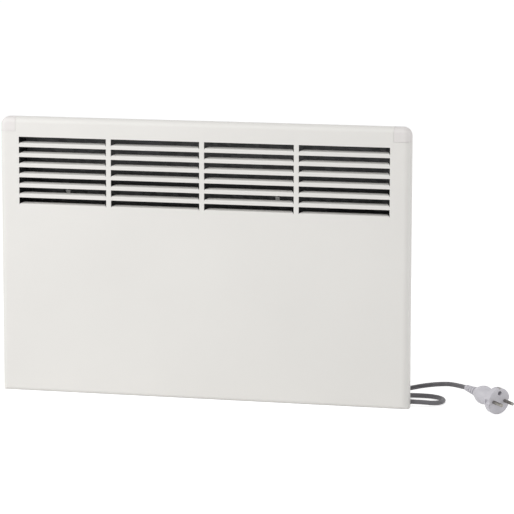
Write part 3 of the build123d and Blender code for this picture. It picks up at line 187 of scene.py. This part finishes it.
def moulded(name, color, roughness, grain=1400, depth=20):
    """Moulded plastic with a fine spark-eroded grain"""
    surface = Surface(name, color, roughness)
    surface.tint(surface.noise(35), shade(color, 0.95))
    surface.polish(surface.noise(90), 0.05)
    return surface.bump(surface.noise(grain, 3), depth)


def zinc_sheet(name, color, roughness):
    """Zinc-coated sheet with its spangle and fine roller marks"""
    surface = Surface(name, color, roughness, metallic=1.0)
    surface.tint(surface.cells(110), shade(color, 0.72), 0.0, 1.0)
    surface.tint(surface.noise(12), shade(color, 0.85))
    surface.polish(surface.cells(110), 0.08)
    return surface.bump(surface.noise(300, 4, (0.1, 1, 1)), 10)


def metal(name, color, roughness, stretch=(1, 1, 1), metallic=1.0):
    """Bare or plated metal with fine marks along one way"""
    surface = Surface(name, color, roughness, metallic)
    surface.tint(surface.noise(160, 3, stretch), shade(color, 0.82))
    surface.polish(surface.noise(500, 4, stretch), 0.08)
    return surface.bump(surface.noise(900, 4, stretch), 10)


def soft(name, color, roughness, sheen=0.0):
    """Rubber or soft plastic with a dull, slightly mottled skin"""
    surface = Surface(name, color, roughness, specular=0.4)
    surface.tint(surface.noise(60, 3), shade(color, 0.86))
    surface.polish(surface.noise(220), 0.06)
    surface.bump(surface.noise(700, 3), 40)
    surface.shader.inputs["Sheen Weight"].default_value = sheen
    return surface


def ceramic(name, color):
    """Fired clay with fine dark specks"""
    surface = Surface(name, color, 0.6)
    surface.tint(surface.noise(800, 2), shade(color, 0.8), 0.55, 0.75)
    return surface.bump(surface.noise(1100, 3), 50)


def tinted_lens(name, color):
    """Clear tinted plastic with a gloss"""
    surface = moulded(name, color, 0.12, 200, 10)
    surface.shader.inputs["Transmission Weight"].default_value = 0.35
    surface.shader.inputs["Coat Weight"].default_value = 0.4
    return surface


# the casing's bent tray, measured to the middle of its sheet
TRAY_LOW = Vector((-276.1, -40.0, 0.4)) * MM
TRAY_HIGH = Vector((276.1, 26.1, 378.6)) * MM
TRAY_BEND_R = 2.6 * MM
# how far the powder coat blends into the painted shade inside the tray
SHADE_EDGE = 0.1 * MM


def lined_enamel(name, color, inside_shade):
    """Powder coat outside a bent tray, and painted shade inside it: a dark steel colour that stands in for
    the shade within the casing
    """
    surface = enamel(name, color, 0.5)
    depth = surface.from_core(TRAY_LOW, TRAY_HIGH, TRAY_BEND_R)
    # painted shade: inside the tray's bends the colour turns to the dark steel that stands in for the
    # casing's inner shade
    return surface.tint(depth, inside_shade, TRAY_BEND_R + SHADE_EDGE, TRAY_BEND_R - SHADE_EDGE)


# painted shade: steel darkened well below bare zinc, standing in for the shade inside the casing; used for
# the air guide and for the tray's inside
PAINTED_SHADE_STEEL = srgb(84, 84, 85)
ALONG_X = (0.1, 1, 1)
ALONG_Z = (1, 1, 0.1)

SURFACES = {
    "panel_enamel": enamel("panel_enamel", srgb(236, 234, 230), 0.44),
    # painted shade on the inside of the casing tray
    "casing_enamel": lined_enamel("casing_enamel", srgb(230, 228, 225), PAINTED_SHADE_STEEL),
    "cap_plastic": moulded("cap_plastic", srgb(236, 232, 230), 0.42, 1100, 30),
    "zinc_steel": zinc_sheet("zinc_steel", srgb(150, 152, 155), 0.5),
    # painted shade: the air guide's steel is darkened to stand in for the shade it sits in
    "guide_steel": zinc_sheet("guide_steel", PAINTED_SHADE_STEEL, 0.6),
    "screw_steel": metal("screw_steel", srgb(196, 196, 194), 0.32),
    "clip_steel": metal("clip_steel", srgb(252, 252, 250), 0.4, ALONG_X, 0.2),
    "fin_aluminium": metal("fin_aluminium", srgb(196, 198, 200), 0.4, (0.03, 1, 1)),
    "sheath_steel": metal("sheath_steel", srgb(120, 108, 98), 0.45, (0.05, 1, 1)),
    "ceramic": ceramic("ceramic", srgb(232, 226, 212)),
    "terminal_brass": metal("terminal_brass", srgb(204, 170, 104), 0.3),
    "control_plastic": moulded("control_plastic", srgb(226, 225, 223), 0.5, 1500, 40),
    "dial_plastic": moulded("dial_plastic", srgb(214, 214, 214), 0.35),
    "rocker_plastic": moulded("rocker_plastic", srgb(218, 218, 218), 0.28),
    "switch_plastic": moulded("switch_plastic", srgb(38, 38, 40), 0.45),
    "lens_amber": tinted_lens("lens_amber", srgb(226, 138, 52)),
    "block_plastic": moulded("block_plastic", srgb(226, 226, 218), 0.5),
    "wire_brown": soft("wire_brown", srgb(92, 56, 34), 0.4),
    "wire_blue": soft("wire_blue", srgb(44, 92, 168), 0.4),
    "wire_earth": soft("wire_earth", srgb(150, 168, 44), 0.4),
    "cord_grey": soft("cord_grey", srgb(118, 116, 120), 0.5, 0.1),
    "gland_grey": soft("gland_grey", srgb(196, 196, 198), 0.5),
    "tie_grey": moulded("tie_grey", srgb(222, 222, 222), 0.45),
    "plug_grey": moulded("plug_grey", srgb(211, 209, 215), 0.38, 1200, 30),
    # painted reflection: the nickel is darker than bare nickel, standing in for the dark reflections at the
    # pins' bases
    "pin_nickel": metal("pin_nickel", srgb(150, 147, 142), 0.3, ALONG_Z),
    "pad_rubber": soft("pad_rubber", srgb(120, 120, 120), 0.75),
    "latch_plastic": moulded("latch_plastic", srgb(208, 208, 206), 0.45),
}
INK = moulded("mark_ink", srgb(92, 94, 98), 0.5).material

for entry in frame["record"]["subparts"]:
    mesh = nodes[entry["node"]].data
    mesh.materials.clear()
    mesh.materials.append(SURFACES[entry["material_slot"]].material)


# ---- mains lead, in millimetres ----

CORD_R = 3.25
COIL_X, COIL_Y, COIL_R = 174.0, 96.0, 43.0
COIL_PITCH = 7.1
COIL_TURNS = 4.625
COIL_START = 270.0
COIL_LOW_Z = 4.25
CLIMB_TURNS = 0.5
TURN_STEPS = 20

GLAND_END = (292.0, -18.5, 7.0)
LEAD_POINTS = [
    (308.6, -18.5, 7.0),
    (323.0, -10.6, 4.6),
    (331.3, 3.4, 3.7),
    (331.3, 20.0, 3.4),
    (323.0, 34.4, 3.4),
    (308.6, 42.7, 3.4),
    (288.0, 43.2, 3.4),
    (267.0, 38.5, 3.4),
    (245.0, 38.5, 3.4),
    (222.0, 48.0, 3.8),
    (200.0, 52.3, 4.2),
    (180.5, 52.83, 4.25),
]
TAIL_POINTS = [
    (209.12, 121.93, 11.35),
    (229.0, 104.5, 8.2),
    (250.0, 89.3, 3.6),
    (268.0, 76.6, 5.2),
    (287.0, 63.6, 12.1),
    (306.0, 51.0, 17.8),
    (325.0, 38.3, 22.4),
    (343.0, 25.1, 25.6),
    (365.43, 6.34, 25.21),
]


def coil_points():
    """The turns of the put-away coil: in, up a layer and out again"""
    half = COIL_TURNS / 2
    count = round(COIL_TURNS * TURN_STEPS)
    points = []
    for i in range(count + 1):
        turn = -half + COIL_TURNS * i / count
        radius = COIL_R - COIL_PITCH * (half - abs(turn))
        rise = min(max(turn / CLIMB_TURNS + 0.5, 0.0), 1.0)
        angle = radians(COIL_START) - 2 * pi * (turn + half)
        height = COIL_LOW_Z + COIL_PITCH * rise * rise * (3 - 2 * rise)
        points.append((COIL_X + radius * cos(angle), COIL_Y + radius * sin(angle), height))
    return points


def mains_lead():
    """One smooth line from the gland, round the coil and out to the plug"""
    curve = bpy.data.curves.new("mains_lead", "CURVE")
    curve.dimensions = "3D"
    curve.bevel_depth = CORD_R * MM
    curve.bevel_resolution = 6
    curve.resolution_u = 8
    curve.use_fill_caps = True
    spline = curve.splines.new("NURBS")
    points = [GLAND_END, *LEAD_POINTS, *coil_points(), *TAIL_POINTS]
    spline.points.add(len(points) - 1)
    for point, at in zip(spline.points, points):
        point.co = (*(Vector(at) * MM), 1.0)
    spline.order_u = 3
    spline.use_endpoint_u = True
    curve.materials.append(SURFACES["cord_grey"].material)
    return show("mains_lead", curve)


lead = mains_lead()
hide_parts("cord_lead", "cord_coil", "cord_tail")
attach(lead, "heater")


# ---- marks on the control plate ----

DIAL_TURN = 270.0
DIAL_NUMBERS = 6
NUMBER_HEIGHT = 4.2 * MM
NUMBER_GAP = 2.6 * MM
PRINT_LIFT = 0.05 * MM

KNOB_SHARE = 0.8
GROOVE_START = 0.4
GROOVE_DEPTH = 0.6 * MM
INK_HALF = 0.5 * MM
INK_LIFT, INK_DEPTH = 0.02 * MM, 0.2 * MM


def dial_place():
    """Middle, face and radius of the dial"""
    low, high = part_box("thermostat_dial")
    return (low + high) / 2, high.x, (high.z - low.z) / 2


def dial_numbers():
    """Plain numbers round the dial, printed on the plate, from where its groove points at rest"""
    middle, _, dial_r = dial_place()
    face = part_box("control_plate")[1].x + PRINT_LIFT
    radius = dial_r + NUMBER_GAP
    for number in range(1, DIAL_NUMBERS + 1):
        angle = radians((number - 1) * DIAL_TURN / (DIAL_NUMBERS - 1))
        text = bpy.data.curves.new(f"dial_mark_{number}", "FONT")
        text.body = str(number)
        text.size = NUMBER_HEIGHT
        text.align_x, text.align_y = "CENTER", "CENTER"
        text.materials.append(INK)
        mark = show(text.name, text)
        mark.location = (face, middle.y + radius * sin(angle), middle.z + radius * cos(angle))
        mark.rotation_euler = Euler((pi / 2, 0, pi / 2))
        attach(mark, "heater")


def dial_pointer():
    """Ink in the dial's groove, which turns with the dial"""
    middle, face, dial_r = dial_place()
    knob_r = KNOB_SHARE * dial_r
    floor_x = face - GROOVE_DEPTH + INK_LIFT
    xs = (floor_x, floor_x + INK_DEPTH)
    ys = (middle.y - INK_HALF, middle.y + INK_HALF)
    zs = (middle.z + GROOVE_START * knob_r, middle.z + knob_r - INK_HALF)
    corners = [(x, y, z) for x in xs for y in ys for z in zs]
    sides = [(0, 1, 3, 2), (4, 6, 7, 5), (0, 4, 5, 1), (2, 3, 7, 6), (0, 2, 6, 4), (1, 5, 7, 3)]
    mesh = bpy.data.meshes.new("dial_pointer")
    mesh.from_pydata(corners, [], sides)
    mesh.materials.append(INK)
    pointer = show("dial_pointer", mesh)
    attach(pointer, "dial")


dial_numbers()
dial_pointer()


# ---- studio, in metres ----

FLOOR_HALF = 9.0
FLOOR_PALE, FLOOR_DIM = (0.9, 0.9, 0.9, 1), (0.89, 0.89, 0.89, 1)
FLOOR_GLOW = 0.65
WORLD_LEVEL = 0.40

# place, target, size and power
LIGHTS = {
    "key": ((-1.5, -1.4, 1.2), (0, 0, 0.2), (1.2, 1.2), 20),
    "front_top": ((0.1, -1.6, 2.2), (0, 0, 0.2), (1.6, 1.0), 13.2),
    "side_fill": ((2.4, 0.0, 0.8), (0.3, 0, 0.2), (1.0, 1.4), 10),
}

CAMERA_PLACE = (1.048, -3.9614, 0.8335)
CAMERA_TURN, CAMERA_DOWN, CAMERA_ROLL = 13.89, 8.86, 0.067
CAMERA_LENS, CAMERA_SENSOR = 207.6, 36
CAMERA_REACH = 50


def background_rays(tree):
    """One for the rays that show the white background: the camera's, and those off gloss or through glass"""
    path = tree.nodes.new("ShaderNodeLightPath")
    seen = path.outputs["Is Camera Ray"]
    for ray in ("Is Glossy Ray", "Is Transmission Ray"):
        either = tree.nodes.new("ShaderNodeMath")
        either.operation = "MAXIMUM"
        tree.links.new(seen, either.inputs[0])
        tree.links.new(path.outputs[ray], either.inputs[1])
        seen = either.outputs[0]
    return seen


def floor():
    """Pale floor that glows to white, and keeps the object's shadow"""
    mesh = bpy.data.meshes.new("floor")
    corners = [(x * FLOOR_HALF, y * FLOOR_HALF, 0) for x, y in ((-1, -1), (1, -1), (1, 1), (-1, 1))]
    mesh.from_pydata(corners, [], [(0, 1, 2, 3)])
    surface = Surface("floor", FLOOR_PALE, 0.9, specular=0.1)
    surface.tint(surface.noise(3), FLOOR_DIM)
    surface.shader.inputs["Emission Color"].default_value = WHITE
    glow = surface.remap(background_rays(surface.tree), 0.0, FLOOR_GLOW, 0.0, 1.0)
    surface.link(glow, surface.shader.inputs["Emission Strength"])
    mesh.materials.append(surface.material)
    show("floor", mesh)


def studio_world():
    """Pure white behind the object, and an even soft light on it"""
    world = bpy.data.worlds.new("studio")
    world.use_nodes = True
    tree = world.node_tree
    background = tree.nodes["Background"]
    background.inputs["Color"].default_value = WHITE
    level = tree.nodes.new("ShaderNodeMapRange")
    level.inputs["To Min"].default_value = WORLD_LEVEL
    level.inputs["To Max"].default_value = 1.0
    tree.links.new(background_rays(tree), level.inputs["Value"])
    tree.links.new(level.outputs["Result"], background.inputs["Strength"])
    bpy.context.scene.world = world


def area_light(name, place, target, size, power):
    data = bpy.data.lights.new(name, "AREA")
    data.shape = "RECTANGLE"
    data.size, data.size_y = size
    data.energy = power
    light = show(name, data)
    light.location = place
    light.rotation_euler = (Vector(target) - Vector(place)).to_track_quat("-Z", "Y").to_euler()


def camera():
    """The photograph's long lens, to the right of the heater and a little above it"""
    data = bpy.data.cameras.new("camera")
    data.sensor_width = CAMERA_SENSOR
    data.lens = CAMERA_LENS
    data.clip_end = CAMERA_REACH
    eye = show("camera", data)
    eye.location = CAMERA_PLACE
    turn = Matrix.Rotation(radians(CAMERA_TURN), 3, "Z")
    turn @= Matrix.Rotation(radians(90 - CAMERA_DOWN), 3, "X")
    turn @= Matrix.Rotation(radians(CAMERA_ROLL), 3, "Z")
    eye.rotation_euler = turn.to_euler()
    bpy.context.scene.camera = eye


floor()
studio_world()
for light_name, setting in LIGHTS.items():
    area_light(light_name, *setting)
camera()

bpy.context.scene.view_settings.view_transform = "Standard"
